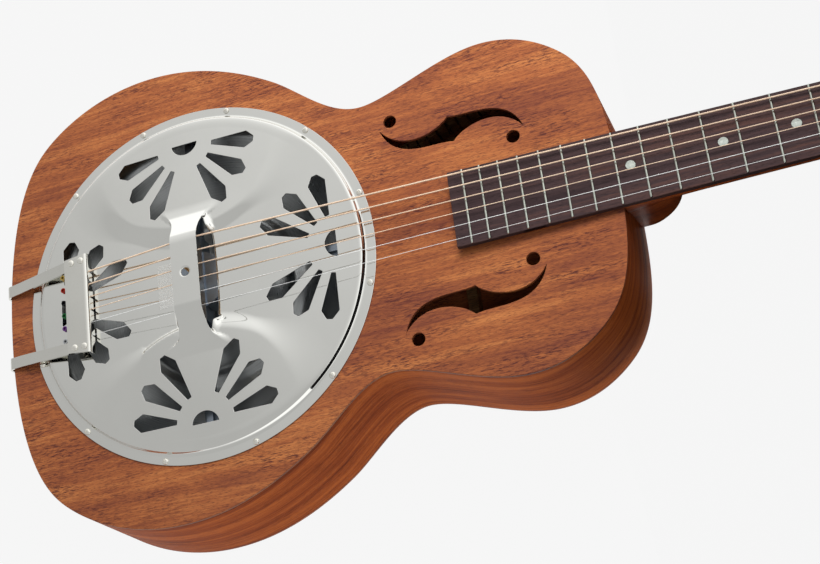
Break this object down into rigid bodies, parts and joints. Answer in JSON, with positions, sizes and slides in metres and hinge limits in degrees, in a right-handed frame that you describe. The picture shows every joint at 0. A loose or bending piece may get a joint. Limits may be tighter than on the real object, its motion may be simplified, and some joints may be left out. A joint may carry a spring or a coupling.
{
  "type": "resonator guitar",
  "caption": "Acoustic guitar with a spun metal cone and spider under a round perforated coverplate, wooden body, f-holes, trapeze tailpiece and worm-geared tuners.",
  "frame": {"origin": "on the flat back, straight below the centre of the bridge and resonator", "axes": "+X along the neck to the headstock, +Y to the bass side, +Z out of the top; the guitar lies on its back"},
  "size_m": [0.984, 0.3664, 0.1096],
  "materials": {
    "mahogany_top": "satin open-pore",
    "mahogany_back": "satin open-pore",
    "mahogany_sides": "satin",
    "lining_wood": "raw",
    "block_wood": "raw",
    "soundwell_ply": "raw plywood",
    "spun_aluminium": "spun",
    "cast_aluminium": "as cast",
    "saddle_maple": "satin",
    "screw_steel": "brushed",
    "plated_sheet": "plated mirror",
    "plated_screws": "plated",
    "ball_brass": "coloured",
    "mahogany_neck": "satin",
    "rosewood_board": "oiled",
    "fret_wire": "polished",
    "dot_pearl": "polished",
    "nut_bone": "polished",
    "nut_brass": "machined",
    "cover_plastic": "polished",
    "veneer_wood": "satin",
    "bronze_winding": "wound",
    "plain_steel": "drawn",
    "tuner_nickel": "plated",
    "gear_brass": "machined"
  },
  "bodies": {
    "guitar": {"top": "mahogany_top", "back": "mahogany_back", "side_bass": "mahogany_sides", "side_treble": "mahogany_sides", "lining_top": "lining_wood", "lining_back": "lining_wood", "neck_block": "block_wood", "tail_block": "block_wood", "soundwell": "soundwell_ply", "back_braces": "lining_wood", "cone": "spun_aluminium", "spider": "cast_aluminium", "saddle_bass": "saddle_maple", "saddle_treble": "saddle_maple", "coverplate": "plated_sheet", "coverplate_screws": "plated_screws", "tailpiece_frame": "plated_sheet", "tailpiece_crossbar": "plated_sheet", "tailpiece_rivets": "plated_screws", "ball_ends": "ball_brass", "strap_button": "plated_screws", "neck": "mahogany_neck", "fingerboard": "rosewood_board", "frets": "fret_wire", "position_dots": "dot_pearl", "nut": "nut_bone", "truss_rod": "screw_steel", "truss_rod_cover": "cover_plastic", "truss_cover_screws": "plated_screws", "headstock_veneer": "veneer_wood", "string_1": "bronze_winding", "string_2": "bronze_winding", "string_3": "bronze_winding", "string_4": "bronze_winding", "string_5": "plain_steel", "string_6": "plain_steel", "tuner_plates": "tuner_nickel", "tuner_bushings": "tuner_nickel", "tuner_screws": "plated_screws"},
    "cone_tension_screw": {"tension_screw": "screw_steel"},
    "truss_nut": {"truss_rod_nut": "nut_brass"},
    "tuner_spindle_1": {"tuner_post_1": "tuner_nickel", "tuner_gear_1": "gear_brass"},
    "tuner_key_1": {"tuner_worm_1": "tuner_nickel"},
    "tuner_spindle_2": {"tuner_post_2": "tuner_nickel", "tuner_gear_2": "gear_brass"},
    "tuner_key_2": {"tuner_worm_2": "tuner_nickel"},
    "tuner_spindle_3": {"tuner_post_3": "tuner_nickel", "tuner_gear_3": "gear_brass"},
    "tuner_key_3": {"tuner_worm_3": "tuner_nickel"},
    "tuner_spindle_4": {"tuner_post_4": "tuner_nickel", "tuner_gear_4": "gear_brass"},
    "tuner_key_4": {"tuner_worm_4": "tuner_nickel"},
    "tuner_spindle_5": {"tuner_post_5": "tuner_nickel", "tuner_gear_5": "gear_brass"},
    "tuner_key_5": {"tuner_worm_5": "tuner_nickel"},
    "tuner_spindle_6": {"tuner_post_6": "tuner_nickel", "tuner_gear_6": "gear_brass"},
    "tuner_key_6": {"tuner_worm_6": "tuner_nickel"}
  },
  "joints": [
    {"name": "tension_screw_turn", "type": "hinge", "parent": "guitar", "child": "cone_tension_screw", "pos_m": [0, 0, 0.088], "axis": [0, 0, 1], "range_deg": [-360, 360]},
    {"name": "truss_nut_turn", "type": "hinge", "parent": "guitar", "child": "truss_nut", "pos_m": [0.64814, 0, 0.07415], "axis": [0.9997, 0, -0.0229], "range_deg": [-360, 360]},
    {"name": "spindle_turn_1", "type": "hinge", "parent": "guitar", "child": "tuner_spindle_1", "pos_m": [0.6793, 0.023, 0.05096], "axis": [0.264, 0, 0.9645], "continuous": true},
    {"name": "key_turn_1", "type": "hinge", "parent": "guitar", "child": "tuner_key_1", "pos_m": [0.68789, 0.023, 0.04861], "axis": [0, 1, 0], "continuous": true},
    {"name": "spindle_turn_2", "type": "hinge", "parent": "guitar", "child": "tuner_spindle_2", "pos_m": [0.71788, 0.023, 0.0404], "axis": [0.264, 0, 0.9645], "continuous": true},
    {"name": "key_turn_2", "type": "hinge", "parent": "guitar", "child": "tuner_key_2", "pos_m": [0.72647, 0.023, 0.03805], "axis": [0, 1, 0], "continuous": true},
    {"name": "spindle_turn_3", "type": "hinge", "parent": "guitar", "child": "tuner_spindle_3", "pos_m": [0.75646, 0.023, 0.02984], "axis": [0.264, 0, 0.9645], "continuous": true},
    {"name": "key_turn_3", "type": "hinge", "parent": "guitar", "child": "tuner_key_3", "pos_m": [0.76505, 0.023, 0.02749], "axis": [0, 1, 0], "continuous": true},
    {"name": "spindle_turn_4", "type": "hinge", "parent": "guitar", "child": "tuner_spindle_4", "pos_m": [0.75646, -0.023, 0.02984], "axis": [0.264, 0, 0.9645], "continuous": true},
    {"name": "key_turn_4", "type": "hinge", "parent": "guitar", "child": "tuner_key_4", "pos_m": [0.76505, -0.023, 0.02749], "axis": [0, -1, 0], "continuous": true},
    {"name": "spindle_turn_5", "type": "hinge", "parent": "guitar", "child": "tuner_spindle_5", "pos_m": [0.71788, -0.023, 0.0404], "axis": [0.264, 0, 0.9645], "continuous": true},
    {"name": "key_turn_5", "type": "hinge", "parent": "guitar", "child": "tuner_key_5", "pos_m": [0.72647, -0.023, 0.03805], "axis": [0, -1, 0], "continuous": true},
    {"name": "spindle_turn_6", "type": "hinge", "parent": "guitar", "child": "tuner_spindle_6", "pos_m": [0.6793, -0.023, 0.05096], "axis": [0.264, 0, 0.9645], "continuous": true},
    {"name": "key_turn_6", "type": "hinge", "parent": "guitar", "child": "tuner_key_6", "pos_m": [0.68789, -0.023, 0.04861], "axis": [0, -1, 0], "continuous": true}
  ],
  "couplings": [
    {"joint": "spindle_turn_1", "follows": "key_turn_1", "ratio": 0.071429},
    {"joint": "spindle_turn_2", "follows": "key_turn_2", "ratio": 0.071429},
    {"joint": "spindle_turn_3", "follows": "key_turn_3", "ratio": 0.071429},
    {"joint": "spindle_turn_4", "follows": "key_turn_4", "ratio": 0.071429},
    {"joint": "spindle_turn_5", "follows": "key_turn_5", "ratio": 0.071429},
    {"joint": "spindle_turn_6", "follows": "key_turn_6", "ratio": 0.071429}
  ]
}
